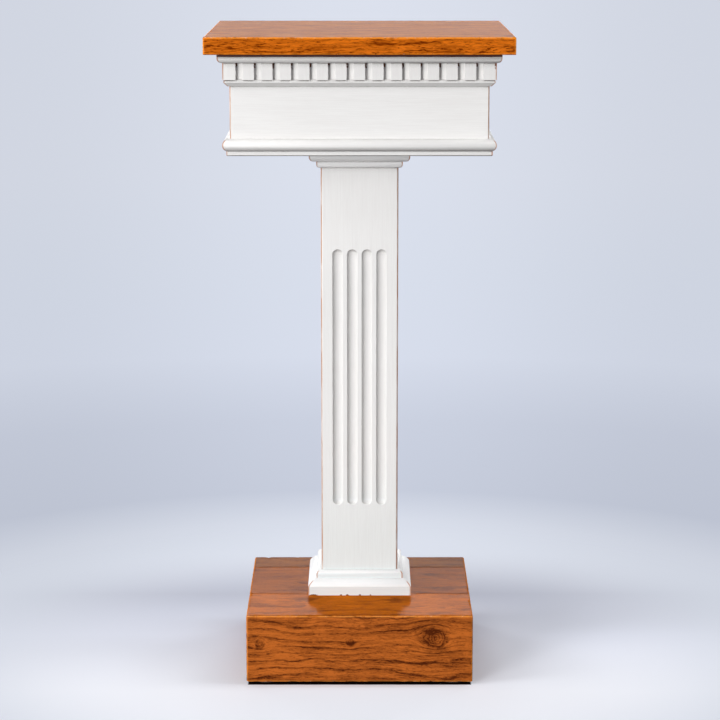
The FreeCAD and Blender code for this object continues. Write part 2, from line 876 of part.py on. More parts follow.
def main():
    nodes = felt_pads()
    nodes += plinth()
    nodes += column_boards()
    nodes += column_end_blocks()
    nodes += lag_screws_and_washers()
    nodes += column_base_mouldings()
    nodes += column_cap_mouldings()
    nodes += [head_bottom_panel()]
    nodes += frieze_boards()
    nodes += head_corner_blocks()
    nodes += top_cleats()
    nodes += head_screws()
    nodes += head_skirt_mouldings()
    nodes += dentil_mouldings()
    nodes += cornice_beads()
    nodes += top_boards()
    doc.recompute()
    check(nodes)
    os.makedirs("parts", exist_ok=True)
    for node in nodes:
        node.Shape.exportStep(f"parts/{node.Label}.step")
        print(f"{node.Label}: {len(node.Shape.Solids)} solid(s), {node.Shape.Volume / 1000:.1f} cm3")


main()
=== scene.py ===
import math
from typing import NamedTuple

import bmesh
import bpy
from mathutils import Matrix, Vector, noise

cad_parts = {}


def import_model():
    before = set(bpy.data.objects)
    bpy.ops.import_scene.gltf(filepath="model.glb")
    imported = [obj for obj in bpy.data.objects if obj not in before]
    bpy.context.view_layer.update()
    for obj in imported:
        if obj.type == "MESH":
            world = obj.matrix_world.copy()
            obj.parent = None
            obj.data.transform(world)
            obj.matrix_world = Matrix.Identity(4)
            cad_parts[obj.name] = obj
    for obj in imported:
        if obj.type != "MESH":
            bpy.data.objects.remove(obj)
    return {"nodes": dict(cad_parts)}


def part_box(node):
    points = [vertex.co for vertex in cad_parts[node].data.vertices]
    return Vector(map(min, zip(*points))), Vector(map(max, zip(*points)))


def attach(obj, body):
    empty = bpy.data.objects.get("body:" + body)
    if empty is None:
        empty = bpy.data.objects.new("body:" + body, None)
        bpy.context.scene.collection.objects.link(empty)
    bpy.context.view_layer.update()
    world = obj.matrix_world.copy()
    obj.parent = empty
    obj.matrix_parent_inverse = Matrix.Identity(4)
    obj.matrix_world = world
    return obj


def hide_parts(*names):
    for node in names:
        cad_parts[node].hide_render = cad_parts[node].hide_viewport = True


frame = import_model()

# Pedestal column stand: stained wood plinth and top, white painted column, head and mouldings.
# Metres, in the frame's own place. The front faces -Y and the column's axis is x = y = 0.

bpy.context.view_layer.update()

MM = 0.001
PER_METRE_TO_MM = 1000.0
BODY = "root"
NOISE_RANGE = (0.3, 0.7)  # most of a noise's values lie between these


def srgb(red, green, blue):
    """A colour as a picture shows it, 0 to 255, as the linear values that a shader takes."""
    linear = []
    for channel in (red, green, blue):
        share = channel / 255.0
        linear.append(share / 12.92 if share <= 0.04045 else ((share + 0.055) / 1.055) ** 2.4)
    return (*linear, 1.0)


def in_mm(box):
    """A box's lowest and highest corner, in millimetres."""
    return [corner * PER_METRE_TO_MM for corner in box]


# ---------------------------------------------------------------- node graphs

LIFT = 0.8  # tilts the way that shelter looks upwards, so that a ledge below doesn't count
SHELTER_RANGE = (0.66, 0.16)  # the open share of the sky where shelter starts and where it is full


class Graph:
    """A material's nodes. Each call adds nodes and returns the socket that carries the result."""

    def __init__(self, name):
        self.material = bpy.data.materials.new(name)
        self.material.use_nodes = True
        self.tree = self.material.node_tree
        self.tree.nodes.clear()

    def node(self, kind, inputs=(), **settings):
        """A node with its inputs, by name or number, and its own settings."""
        made = self.tree.nodes.new(kind)
        for key, value in settings.items():
            setattr(made, key, value)
        for key, value in dict(inputs).items():
            self.feed(made.inputs[key], value)
        return made

    def feed(self, socket, value):
        """Links a socket to the input, or sets the input to a plain value."""
        if isinstance(value, bpy.types.NodeSocket):
            self.tree.links.new(value, socket)
        else:
            socket.default_value = value

    def math(self, operation, first, second=0.0):
        return self.node("ShaderNodeMath", {0: first, 1: second}, operation=operation).outputs[0]

    def add(self, *terms):
        total = terms[0]
        for term in terms[1:]:
            total = self.math("ADD", total, term)
        return total

    def subtract(self, first, second):
        return self.math("SUBTRACT", first, second)

    def multiply(self, *factors):
        product = factors[0]
        for factor in factors[1:]:
            product = self.math("MULTIPLY", product, factor)
        return product

    def divide(self, first, second):
        return self.math("DIVIDE", first, second)

    def smaller(self, first, second):
        return self.math("MINIMUM", first, second)

    def larger(self, first, second):
        return self.math("MAXIMUM", first, second)

    def size_of(self, value):
        return self.math("ABSOLUTE", value)

    def length(self, first, second):
        """The hypotenuse over two sides."""
        return self.math("SQRT", self.add(self.multiply(first, first), self.multiply(second, second)))

    def vector(self, operation, first, second=(0.0, 0.0, 0.0)):
        inputs = {0: first, 1: second}
        return self.node("ShaderNodeVectorMath", inputs, operation=operation).outputs[0]

    def sum(self, *vectors):
        total = vectors[0]
        for vector in vectors[1:]:
            total = self.vector("ADD", total, vector)
        return total

    def split(self, vector):
        return self.node("ShaderNodeSeparateXYZ", {0: vector}).outputs

    def join(self, x, y, z):
        return self.node("ShaderNodeCombineXYZ", {0: x, 1: y, 2: z}).outputs[0]

    def place(self):
        """The point on the piece, in millimetres of the frame."""
        metres = self.node("ShaderNodeTexCoord").outputs["Object"]
        return self.vector("MULTIPLY", metres, (PER_METRE_TO_MM,) * 3)

    def facing(self):
        """How far the surface faces along X, Y and Z, each 0 to 1."""
        normal = self.node("ShaderNodeTexCoord").outputs["Normal"]
        return self.split(self.vector("ABSOLUTE", normal))

    def facing_down(self):
        """0 on an upright surface, 1 on one that faces straight down."""
        normal = self.node("ShaderNodeTexCoord").outputs["Normal"]
        return self.multiply(self.split(normal)[2], -1.0)

    def shelter(self, reach):
        """0 in the open, 1 close under an overhang that is within reach, in millimetres."""
        normal = self.node("ShaderNodeNewGeometry").outputs["Normal"]
        raised = self.vector("NORMALIZE", self.vector("ADD", normal, (0.0, 0.0, LIFT)))
        inputs = {"Distance": reach * MM, "Normal": raised}
        open_share = self.node("ShaderNodeAmbientOcclusion", inputs, samples=6).outputs["AO"]
        return self.ease(open_share, *SHELTER_RANGE)

    def noise(self, point, cell, detail=2.0, roughness=0.5, seed=0.0):
        """Smooth noise whose features are about cell = (x, y, z) millimetres across."""
        stretched = self.vector("DIVIDE", point, cell)
        moved = self.vector("ADD", stretched, (seed, seed * 1.7, seed * 0.6))
        inputs = {"Vector": moved, "Scale": 1.0, "Detail": detail, "Roughness": roughness}
        return self.node("ShaderNodeTexNoise", inputs)

    def grey_noise(self, point, cell, detail=2.0, roughness=0.5, seed=0.0):
        return self.noise(point, cell, detail, roughness, seed).outputs["Fac"]

    def wander(self, point, cell, reach, detail=2.0, seed=0.0):
        """A vector of noise, each part from -reach to +reach."""
        colour = self.noise(point, cell, detail, seed=seed).outputs["Color"]
        centred = self.vector("SUBTRACT", colour, (0.5, 0.5, 0.5))
        return self.vector("MULTIPLY", centred, tuple(2.0 * part for part in reach))

    def ease(self, value, low, high, start=0.0, end=1.0):
        """start where value is at low, end where it is at high, smooth in between."""
        inputs = {"Value": value, "From Min": low, "From Max": high, "To Min": start, "To Max": end}
        made = self.node("ShaderNodeMapRange", inputs, interpolation_type="SMOOTHSTEP", clamp=True)
        return made.outputs[0]

    def limit(self, value):
        """The value kept between 0 and 1."""
        return self.node("ShaderNodeClamp", {0: value}).outputs[0]

    def mix(self, share, first, second):
        """The first colour where share is 0, the second where it is 1."""
        made = self.node("ShaderNodeMix", data_type="RGBA", clamp_factor=True)
        self.feed(made.inputs["Factor"], share)
        self.feed(made.inputs[6], first)
        self.feed(made.inputs[7], second)
        return made.outputs[2]

    def colour_ramp(self, value, stops):
        """A colour that follows straight lines between stops of (position, colour)."""
        made = self.node("ShaderNodeValToRGB", {0: value})
        elements = made.color_ramp.elements
        while len(elements) < len(stops):
            elements.new(1.0)
        for element, (position, colour) in zip(elements, stops):
            element.position = position
            element.color = colour
        return made.outputs[0]

    def ramp(self, value, stops):
        """A value that follows straight lines between stops of (position, height)."""
        return self.colour_ramp(value, [(at, (height, height, height, 1.0)) for at, height in stops])

    def bump(self, height, depth):
        """height is 0 to 1; depth is what 1 stands for, in metres."""
        inputs = {"Height": height, "Distance": depth, "Strength": 1.0}
        return self.node("ShaderNodeBump", inputs).outputs[0]

    def finish(self, shader):
        """The material, with the shader on its output."""
        output = self.node("ShaderNodeOutputMaterial")
        self.tree.links.new(shader, output.inputs["Surface"])
        return self.material

    def principled(self, **inputs):
        """The material, made of one principled shader. Spaces in an input's name are written _."""
        named = {key.replace("_", " "): value for key, value in inputs.items()}
        return self.finish(self.node("ShaderNodeBsdfPrincipled", named).outputs[0])


# ---------------------------------------------------------------- stained wood

# One growth ring from its start to its end: pale early wood, then a thin dark line of late wood.
LATE_WOOD = (
    (0.00, 0.25),
    (0.07, 0.00),
    (0.45, 0.06),
    (0.68, 0.30),
    (0.82, 0.80),
    (0.90, 1.00),
    (1.00, 0.55),
)
FINE_RING = ((0.0, 0.0), (0.6, 0.15), (0.9, 1.0), (1.0, 0.0))
FINE_RINGS = 3.7  # fine rings to one growth ring
KNOT_RING = ((0.0, 0.05), (0.45, 0.0), (0.72, 0.9), (0.86, 1.0), (1.0, 0.1))

# Noise that bends the grain: its cell and its reach in millimetres along X, Y and Z, and its detail.
SLOW_BEND = ((120.0, 60.0, 50.0), (0.0, 15.0, 15.0), 2.0)
MIDDLE_BEND = ((34.0, 14.0, 12.0), (0.0, 3.0, 3.0), 2.0)
QUICK_BEND = ((6.0, 2.0, 1.7), (0.0, 0.8, 0.8), 4.0)
KNOT_BEND = ((8.0, 8.0, 8.0), (4.4, 0.0, 4.4), 3.0)

# Cells of the noise that marks and wears the wood, in millimetres along X, Y and Z.
FADING_CELL = (80.0, 13.0, 8.0)
FIBRE_CELL = (13.0, 0.8, 0.8)
STREAK_CELL = (48.0, 2.6, 2.6)
CLOUD_CELL = (46.0, 30.0, 22.0)
RUB_CELL = (9.0, 9.0, 9.0)
CHIP_CELL = (3.4, 2.0, 2.0)
NICK_CELL = (4.0, 2.4, 2.4)

UPWARD_GRAIN = 0.78  # how strong the grain stays on upward faces
BARE_SPECK = srgb(240, 190, 146)
UNWORN = 10.0  # millimetres that keep a lower arris, which is darkened with painted shade, out of the wear
WOOD_ROUGHNESS = (0.34, 0.44)
VARNISH_ROUGHNESS = 0.17


class Stain(NamedTuple):
    """What sets one stained timber apart from another. Lengths in millimetres."""

    light: tuple
    dark: tuple
    faded: tuple  # the light colour on upward faces, painted for how light and the varnish's sheen fall there
    worn: tuple  # the colour of the rubbed arrises: wear, and partly a painted highlight
    ring: float  # width of a growth ring
    lines: float  # how dark the ring lines are, 0 to 1
    dashes: float  # how dark the short pore dashes are, 0 to 1
    dash_cell: tuple
    relief: float  # depth of the brushed grain, in metres
    pool: float  # how far painted shade reaches up from the lower arris
    gloss: float  # weight of the varnish coat


PLINTH_STAIN = Stain(
    light=srgb(195, 104, 40),
    dark=srgb(82, 34, 10),
    faded=srgb(194, 101, 12),
    worn=srgb(226, 140, 60),
    ring=8.6,
    lines=0.54,
    dashes=0.34,
    dash_cell=(5.0, 0.8, 0.8),
    relief=0.30 * MM,
    pool=0.3,
    gloss=0.041,
)
# The front, middle and back timber differ in tone where they face up: partly the timbers' own tone,
# partly painted shade that darkens them towards the back, where the column's shadow falls.
PLINTH_STAINS = (
    PLINTH_STAIN,
    PLINTH_STAIN._replace(faded=srgb(163, 83, 6)),
    PLINTH_STAIN._replace(faded=srgb(141, 77, 6)),
)
TOP_STAIN = Stain(
    light=srgb(219, 113, 23),
    dark=srgb(112, 42, 0),
    faded=srgb(194, 108, 8),
    worn=srgb(250, 152, 48),
    ring=6.2,
    lines=0.34,
    dashes=0.66,
    dash_cell=(7.5, 1.0, 1.0),
    relief=0.30 * MM,
    pool=0.9,
    gloss=0.035,
)

BEND_FLATNESS = 0.55  # below 1, so that the bend round a knot is longer along the grain than across

# Lengths in millimetres.
BEND_DEPTH = 30.0  # how far behind the front face a knot bends the grain
KNOT_RING_WIDTH = 2.9
KNOT_BARK = 2.6  # how far the bark's darkness reaches to either side of the knot's rim
KNOT_DEPTH = 6.0  # how far behind the front face a knot shows


def around_knot(g, point, centre, radius, front):
    """Bends the grain round a knot that runs in from the front, as water parts round a post."""
    x, y, z = g.split(point)
    across = g.subtract(x, centre[0])
    up = g.subtract(z, centre[1])
    squared = g.add(g.multiply(across, across, BEND_FLATNESS), g.multiply(up, up))
    reach = g.ease(y, front + 2.0 * BEND_DEPTH, front + BEND_DEPTH, 0.0, radius * radius)
    share = g.divide(reach, g.larger(squared, g.larger(reach, 1.0)))
    return g.join(x, y, g.subtract(z, g.multiply(up, share)))


def knot_darkness(g, point, centre, radius, front):
    """Crooked rings inside a knot, dull wood round it, and bark that is darkest on its lower side."""
    crooked = g.sum(point, g.wander(point, *KNOT_BEND, seed=radius))
    x, _, z = g.split(crooked)
    distance = g.length(g.subtract(x, centre[0]), g.subtract(z, centre[1]))
    beyond = g.subtract(distance, radius)
    rings = g.ramp(g.math("FRACT", g.divide(distance, KNOT_RING_WIDTH)), KNOT_RING)
    inside = g.multiply(g.ease(beyond, 1.5, -1.5), g.multiply(rings, 0.34))
    dull = g.ease(beyond, 0.9 * radius, -0.3 * radius, 0.0, 0.20)
    below = g.ease(z, centre[1] + 0.6 * radius, centre[1] - radius, 0.0, 0.38)
    bark = g.multiply(g.ease(g.size_of(beyond), KNOT_BARK, 0.2), below)
    at_front = g.ease(g.split(point)[1], front + KNOT_DEPTH, front + KNOT_DEPTH / 2.0)
    return g.multiply(g.add(inside, bark, dull), at_front)


def edge_distance(g, point, low, high):
    """Millimetres to the nearest arris of a box, for a point on its surface."""
    parts = []
    for value, a, b in zip(g.split(point), low, high):
        parts.append(g.smaller(g.subtract(value, a), g.subtract(b, value)))
    x, y, z = parts
    return g.larger(g.smaller(x, y), g.smaller(g.larger(x, y), z))


class Marks(NamedTuple):
    """Sockets of the wood's marks, each about 0 to 1."""

    lines: bpy.types.NodeSocket
    dashes: bpy.types.NodeSocket
    fibre: bpy.types.NodeSocket
    streak: bpy.types.NodeSocket
    darkness: bpy.types.NodeSocket


def wood_marks(g, point, flowing, stain, pith, seed):
    """Growth rings round the line (y, z) = pith, pores, fibre and streaks. flowing is the point
    once the knots have bent the grain."""
    slow = g.wander(point, *SLOW_BEND, seed=seed)
    middle = g.wander(point, *MIDDLE_BEND, seed=seed + 3.0)
    quick = g.wander(point, *QUICK_BEND, seed=seed + 5.0)
    jagged = g.sum(flowing, middle, quick)

    _, y, z = g.split(g.sum(flowing, slow, middle, quick))
    turns = g.divide(g.length(g.subtract(y, pith[0]), g.subtract(z, pith[1])), stain.ring)
    late_wood = g.ramp(g.math("FRACT", turns), LATE_WOOD)
    fine_rings = g.ramp(g.math("FRACT", g.multiply(turns, FINE_RINGS)), FINE_RING)
    patchy = g.grey_noise(point, FADING_CELL, detail=3.0, seed=seed + 9.0)
    fading = g.ease(patchy, 0.34, 0.60, 0.15, 1.0)
    lines = g.multiply(late_wood, fading)

    fibre = g.grey_noise(jagged, FIBRE_CELL, detail=3.0, roughness=0.65, seed=seed + 11.0)
    streak = g.grey_noise(jagged, STREAK_CELL, detail=3.0, seed=seed + 13.0)
    spots = g.grey_noise(jagged, stain.dash_cell, detail=2.0, seed=seed + 17.0)
    dashes = g.ease(g.add(spots, g.multiply(lines, 0.10)), 0.57, 0.67)
    cloud = g.grey_noise(point, CLOUD_CELL, detail=4.0, roughness=0.6, seed=seed + 19.0)
    end_grain = g.ease(g.facing()[0], 0.45, 0.9, 0.0, 0.30)
    darkness = g.add(
        g.multiply(lines, stain.lines),
        g.multiply(fine_rings, fading, 0.22),
        g.ease(streak, 0.32, 0.70, -0.12, 0.30),
        g.ease(fibre, 0.30, 0.72, -0.20, 0.28),
        g.multiply(dashes, stain.dashes),
        g.ease(cloud, 0.32, 0.66, -0.12, 0.26),
        end_grain,
    )
    return Marks(lines, dashes, fibre, streak, darkness)


def wear_arrises(g, point, colour, edge, stain, seed):
    """Rubs, chips and nicks along the arrises, edge millimetres from them; the rubs' light colour is
    partly wear and partly a painted highlight. Gives the colour with them, and the damage to the relief,
    0 to 1."""
    rub = g.grey_noise(point, RUB_CELL, detail=3.0, roughness=0.6, seed=seed + 23.0)
    rubbed = g.multiply(g.ease(edge, 2.0, 0.7), g.ease(rub, 0.30, 0.50, 0.35, 1.0))
    colour = g.mix(g.multiply(rubbed, 0.9), colour, stain.worn)
    chip = g.grey_noise(point, CHIP_CELL, detail=3.0, roughness=0.7, seed=seed + 29.0)
    chipped = g.multiply(g.ease(edge, 1.5, 0.6), g.ease(chip, 0.59, 0.65, 0.0, 0.85))
    colour = g.mix(chipped, colour, BARE_SPECK)
    nick = g.grey_noise(point, NICK_CELL, detail=2.0, roughness=0.7, seed=seed + 37.0)
    nicked = g.multiply(g.ease(edge, 2.6, 1.2), g.ease(nick, 0.65, 0.70))
    colour = g.mix(g.multiply(nicked, 0.7), colour, stain.dark)
    return colour, g.larger(chipped, nicked)


def stained_wood(name, stain, box, pith, knots=(), seed=0.0):
    """Orange-brown stain under satin varnish. The board runs along X, and its rings lie round the
    line (y, z) = pith. box is the slab's lowest and highest corner, where the arrises are worn."""
    g = Graph(name)
    point = g.place()
    front = box[0].y
    bottom = box[0].z
    flowing = point
    for centre, radius in knots:
        flowing = around_knot(g, flowing, centre, radius, front)
    marks = wood_marks(g, point, flowing, stain, pith, seed)
    darkness = marks.darkness
    for centre, radius in knots:
        darkness = g.add(darkness, knot_darkness(g, point, centre, radius, front))
    # Painted shade along the lower arris, which faces down.
    lower_shaded = g.ease(g.subtract(g.split(point)[2], bottom), stain.pool, 0.2 * stain.pool)
    darkness = g.limit(g.add(darkness, lower_shaded))

    colour = g.mix(darkness, stain.light, stain.dark)
    # Upward faces take their own colour: painted light and shade.
    faded = g.mix(g.multiply(darkness, UPWARD_GRAIN), stain.faded, stain.dark)
    colour = g.mix(g.ease(g.facing()[2], 0.7, 0.95), colour, faded)
    edge = g.add(edge_distance(g, point, *box), g.multiply(lower_shaded, UNWORN))
    colour, damage = wear_arrises(g, point, colour, edge, stain, seed)

    hollows = g.add(g.multiply(marks.lines, 0.5), g.multiply(marks.dashes, 0.4))
    relief = g.subtract(g.subtract(g.multiply(marks.fibre, 0.45), hollows), g.multiply(damage, 0.7))
    roughness = g.ease(marks.streak, *NOISE_RANGE, *WOOD_ROUGHNESS)
    return g.principled(
        Base_Color=colour,
        Roughness=g.add(roughness, g.multiply(darkness, 0.12)),
        Normal=g.bump(relief, stain.relief),
        Specular_IOR_Level=0.0,
        Coat_Weight=stain.gloss,
        Coat_Roughness=VARNISH_ROUGHNESS,
    )


# ---------------------------------------------------------------- white paint

# The darkest and the lightest tone of the brushed paint, for most pieces, the foot and the cap.
PAINT_TONES = (srgb(231, 229, 227), srgb(238, 237, 235))
# Painted light: the foot's tones are cooler, against the stain's warm bounce, and the cap's lighter,
# against the head's shadow.
FOOT_TONES = (srgb(228, 228, 228), srgb(237, 236, 235))
CAP_TONES = (srgb(240, 239, 237), srgb(248, 247, 246))
# Colours of painted shade: grey where little light reaches, brown-black where it is deepest.
SHADE_GREY = srgb(128, 122, 116)
CREASE_SHADE = srgb(78, 62, 52)
THIN_PAINT = srgb(182, 128, 96)
BARE_UNDER_PAINT = srgb(104, 58, 34)
# The dark brown of the painted shadow that the top board casts on the cornice bead.
BOARD_SHADOW_COLOUR = srgb(66, 26, 8)
PAINT_ROUGHNESS = (0.42, 0.52)
PAINT_SPECULAR = 0.35
PAINT_RELIEF = 0.08 * MM

# Two ranges of height where the paint's colour is multiplied, to come closer to the photo's light.
COOLING = (0.89, 0.965, 0.98)  # upright paint just above the plinth: painted light, cooler against the stain's warm bounce
COOLING_FROM = 260.0  # millimetres above the floor
COOLING_TO = 100.0
LIFTING = (1.06, 1.06, 1.06)  # the column just under the head: painted light against the head's shadow
LIFTING_FROM = 430.0
LIFTING_TO = 520.0
LIFTING_LAST = 560.0
LIFTING_END = 585.0

# Millimetres over which painted shade darkens the paint under an overhang.
OVERHANG_REACH = 9.0
CAP_REACH = 2.6
BEAD_REACH = 13.0

# How much of the painted shade's colour shows where there is most of it, 0 to 1.
FLUTE_SHADE = 0.10
UNDER_SHADE = 0.30
SHELTER_SHADE = 0.85

BOARD_SHADOW_HEIGHT = 3.1  # height of the painted shadow on top of the cornice bead, under the board, in millimetres

# The gaps between the dentils, in millimetres. They start DENTIL_END in from the moulding's ends.
DENTIL_END = 14.6
DENTIL_GAP = 7.7
DENTIL_GAPS = 14
DENTIL_HEIGHT = 18.6

# Where the brush missed a corner of a gap, in millimetres.
MISSED_WIDTH = 2.4
MISSED_HEIGHT = 4.6

# Chips at the foot of the base moulding's front, in millimetres: (x, half width), and their height.
FOOT_CHIPS = ((-21.6, 1.1), (-14.0, 1.9), (0.4, 1.6), (12.8, 0.9), (-53.5, 4.6))
FOOT_CHIP_HEIGHT = 1.5


def missed_corners(along):
    """Bare wood high in the first corner of each gap between the dentils, where no brush reached."""
    low, high = in_mm(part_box("dentil_moulding_front"))
    pitch = (high.x - low.x - 2.0 * DENTIL_END - DENTIL_GAP) / (DENTIL_GAPS - 1)

    def mask(g, point):
        parts = g.split(point)
        ragged = g.grey_noise(point, (2.0, 2.0, 2.0), detail=2.0)
        first_gap = low.x + DENTIL_END
        phase = g.math("FRACT", g.divide(g.subtract(parts[along], first_gap - 0.3), pitch))
        beside = g.ease(phase, MISSED_WIDTH / pitch, 0.7 * MISSED_WIDTH / pitch)
        height = g.ease(ragged, *NOISE_RANGE, 0.4 * MISSED_HEIGHT, 1.5 * MISSED_HEIGHT)
        drop = g.subtract(high.z, parts[2])
        return g.multiply(beside, g.ease(g.subtract(drop, height), 0.5, -0.5))

    return mask


def gap_floors(g, point):
    """How much less painted shade the overhang puts on the floors of the dentils' gaps, which face the
    light.
    """
    low, high = in_mm(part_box("dentil_moulding_front"))
    x, y, z = g.split(g.vector("ABSOLUTE", point))
    recess = g.subtract(-low.y, g.larger(x, y))
    half = DENTIL_HEIGHT / 2.0
    from_middle = g.size_of(g.subtract(z, high.z - half))
    within = g.ease(from_middle, half + 0.5, half - 0.5)
    return g.multiply(g.ease(recess, 2.0, 3.5, 0.0, 0.75), within)


def foot_chips(g, point):
    """Chips along the lower edge of the base moulding's front."""
    low, high = in_mm(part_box("column_base_moulding_front"))
    x, y, z = g.split(point)
    ragged = g.grey_noise(point, (1.4, 1.4, 1.4), detail=2.0)
    above = g.subtract(z, low.z)
    found = 0.0
    for place, half in FOOT_CHIPS:
        aside = g.divide(g.size_of(g.subtract(x, place)), half)
        tall = g.divide(above, FOOT_CHIP_HEIGHT)
        distance = g.add(g.length(aside, tall), g.multiply(g.subtract(ragged, 0.5), 1.2))
        found = g.larger(found, g.ease(distance, 1.1, 0.85))
    return g.multiply(found, g.ease(y, high.y, high.y - 1.0))


def skirt_line(g, point):
    """Painted shade on the lower arris of the head's skirt moulding."""
    low = in_mm(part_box("head_skirt_moulding_front"))[0]
    return g.ease(g.subtract(g.split(point)[2], low.z), 1.6, 0.6, 0.0, 0.6)


def board_shadow_line(g, point):
    """A painted shadow on the top of the cornice bead, where it meets the board: a dark brown line."""
    high = in_mm(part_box("cornice_bead_front"))[1]
    wobble = g.grey_noise(point, (14.0, 14.0, 14.0), detail=3.0, seed=61.0)
    drop = g.add(g.subtract(high.z, g.split(point)[2]), g.multiply(g.subtract(wobble, 0.5), 0.8))
    return g.ease(drop, BOARD_SHADOW_HEIGHT + 0.3, BOARD_SHADOW_HEIGHT - 0.3)


def balance(g, point, colour):
    """Painted light by height: cooler paint in the stain's warm bounce, lighter paint in the head's
    shadow.
    """
    z = g.split(point)[2]
    upright = g.ease(g.facing()[2], 0.6, 0.2)
    low = g.multiply(g.ease(z, COOLING_FROM, COOLING_TO), upright)
    colour = g.mix(low, colour, g.vector("MULTIPLY", colour, COOLING))
    high = g.multiply(g.ease(z, LIFTING_FROM, LIFTING_TO), g.ease(z, LIFTING_END, LIFTING_LAST))
    return g.mix(high, colour, g.vector("MULTIPLY", colour, LIFTING))


def flute_shade(g, point):
    """Painted shade in the column's flutes, which lie behind the faces of its boards."""
    face = -in_mm(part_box("column_board_front"))[0].y
    x, y, _ = g.split(g.vector("ABSOLUTE", point))
    return g.ease(g.subtract(face, g.larger(x, y)), 0.3, 2.0, 0.0, FLUTE_SHADE)


def painted_shade(g, point, colour, reach, down_shade):
    """Painted shade: in the flutes, on surfaces that face down, and under overhangs, darkest in a crease
    close under them.
    """
    colour = g.mix(flute_shade(g, point), colour, SHADE_GREY)
    shelter = g.multiply(g.shelter(reach), g.subtract(1.0, gap_floors(g, point)))
    colour = g.mix(g.ease(g.facing_down(), 0.10, 0.75, 0.0, down_shade), colour, SHADE_GREY)
    colour = g.mix(g.multiply(shelter, SHELTER_SHADE), colour, SHADE_GREY)
    return g.mix(g.ease(shelter, 0.72, 0.98, 0.0, 0.85), colour, CREASE_SHADE)


def thin_corners(g, point, seed):
    """Where the paint is rubbed thin: along the mitred corners, but not on level surfaces."""
    x, y, _ = g.split(g.vector("ABSOLUTE", point))
    corner = g.size_of(g.subtract(x, y))
    rub = g.grey_noise(point, (5.0, 5.0, 26.0), detail=3.0, seed=seed)
    level = g.ease(g.facing()[2], 0.8, 0.95)
    rubbed = g.multiply(g.ease(corner, 1.7, 0.9), g.ease(rub, 0.30, 0.60, 0.45, 0.95))
    return g.multiply(rubbed, g.subtract(1.0, level))


def along_grain(grain, across, length):
    """A noise cell that is across wide, and length long on the axis that grain gives."""
    cell = [across] * 3
    cell[grain] = length
    return tuple(cell)


def white_paint(name, grain, bare=None, below=BARE_UNDER_PAINT, reach=OVERHANG_REACH,
                tones=PAINT_TONES, down_shade=UNDER_SHADE, seed=0.0):
    """Brushed white paint. grain is the axis that the brush followed: 0, 1 or 2 for X, Y or Z.
    bare makes a mask of spots where the colour below shows. reach is how far the painted shade under
    overhangs reaches, and down_shade how much painted shade darkens surfaces that face down."""
    g = Graph(name)
    point = g.place()
    brush = g.grey_noise(point, along_grain(grain, 0.7, 28.0), detail=3.0, roughness=0.65, seed=seed)
    stroke = g.grey_noise(point, along_grain(grain, 3.0, 90.0), detail=2.0, seed=seed + 4.0)
    cloud = g.grey_noise(point, (70.0, 70.0, 70.0), detail=3.0, seed=seed + 8.0)
    shade = g.add(
        g.ease(brush, *NOISE_RANGE, 0.0, 0.60),
        g.ease(stroke, *NOISE_RANGE, 0.0, 0.25),
        g.ease(cloud, *NOISE_RANGE, 0.0, 0.15),
    )
    colour = balance(g, point, g.mix(shade, *tones))
    colour = painted_shade(g, point, colour, reach, down_shade)
    colour = g.mix(thin_corners(g, point, seed + 12.0), colour, THIN_PAINT)
    if bare is not None:
        colour = g.mix(bare(g, point), colour, below)
    relief = g.add(g.multiply(brush, 0.7), g.multiply(stroke, 0.3))
    return g.principled(
        Base_Color=colour,
        Roughness=g.ease(stroke, *NOISE_RANGE, *PAINT_ROUGHNESS),
        Normal=g.bump(relief, PAINT_RELIEF),
        Specular_IOR_Level=PAINT_SPECULAR,
    )


def paints():
    """The paints, each by the start of its pieces' names and the axis that the pieces run along."""
    made = {}
    for axis, letter in enumerate("xyz"):
        made["", axis] = white_paint(f"white_paint_along_{letter}", axis, seed=axis * 40.0)
    for axis, letter in enumerate("xy"):
        made["dentil_moulding", axis] = white_paint(
            f"white_paint_dentils_{letter}", 2, missed_corners(axis), seed=130.0 + axis)
        made["column_cap", axis] = white_paint(
            f"white_paint_cap_{letter}", axis, reach=CAP_REACH, tones=CAP_TONES, down_shade=0.0,
            seed=150.0 + axis)
        made["cornice_bead", axis] = white_paint(
            f"white_paint_bead_{letter}", axis, board_shadow_line, BOARD_SHADOW_COLOUR, BEAD_REACH, seed=160.0 + axis)
        made["head_skirt", axis] = white_paint(
            f"white_paint_skirt_{letter}", axis, skirt_line, CREASE_SHADE, seed=165.0 + axis)
        made["column_base", axis] = white_paint(
            f"white_paint_foot_{letter}", axis, tones=FOOT_TONES, seed=170.0 + axis)
    made["column_base_moulding_front", 0] = white_paint(
        "white_paint_foot_front", 0, foot_chips, tones=FOOT_TONES, seed=180.0)
    return made


def paint_for(name, made):
    """The paint whose key fits the piece's name best. The column's boards run along Z."""
    if name.startswith("column_board"):
        return made["", 2]
    along = 0 if name.endswith(("_front", "_back")) else 1
    fitting = [start for start, axis in made if axis == along and name.startswith(start)]
    return made[max(fitting, key=len), along]


# ---------------------------------------------------------------- finishes of the frame's nodes

# What is hidden or small: bare wood runs along X, and the rest has no grain.
PLAIN_FINISHES = {
    "bare_wood": {
        "light": srgb(222, 186, 138),
        "dark": srgb(196, 152, 104),
        "cell": (40.0, 1.2, 1.2),
        "roughness": 0.65,
        "depth": 0.15 * MM,
    },
    "zinc_steel": {
        "light": srgb(196, 196, 200),
        "dark": srgb(150, 150, 156),
        "cell": (2.0, 2.0, 2.0),
        "roughness": 0.32,
        "depth": 0.03 * MM,
        "metallic": 1.0,
    },
    "felt": {
        "light": srgb(74, 58, 48),
        "dark": srgb(44, 34, 28),
        "cell": (0.7, 0.7, 0.7),
        "roughness": 0.9,
        "depth": 0.3 * MM,
    },
}
PAINTED_ARRIS = 0.45 * MM
SHARP_ANGLE = 32.0


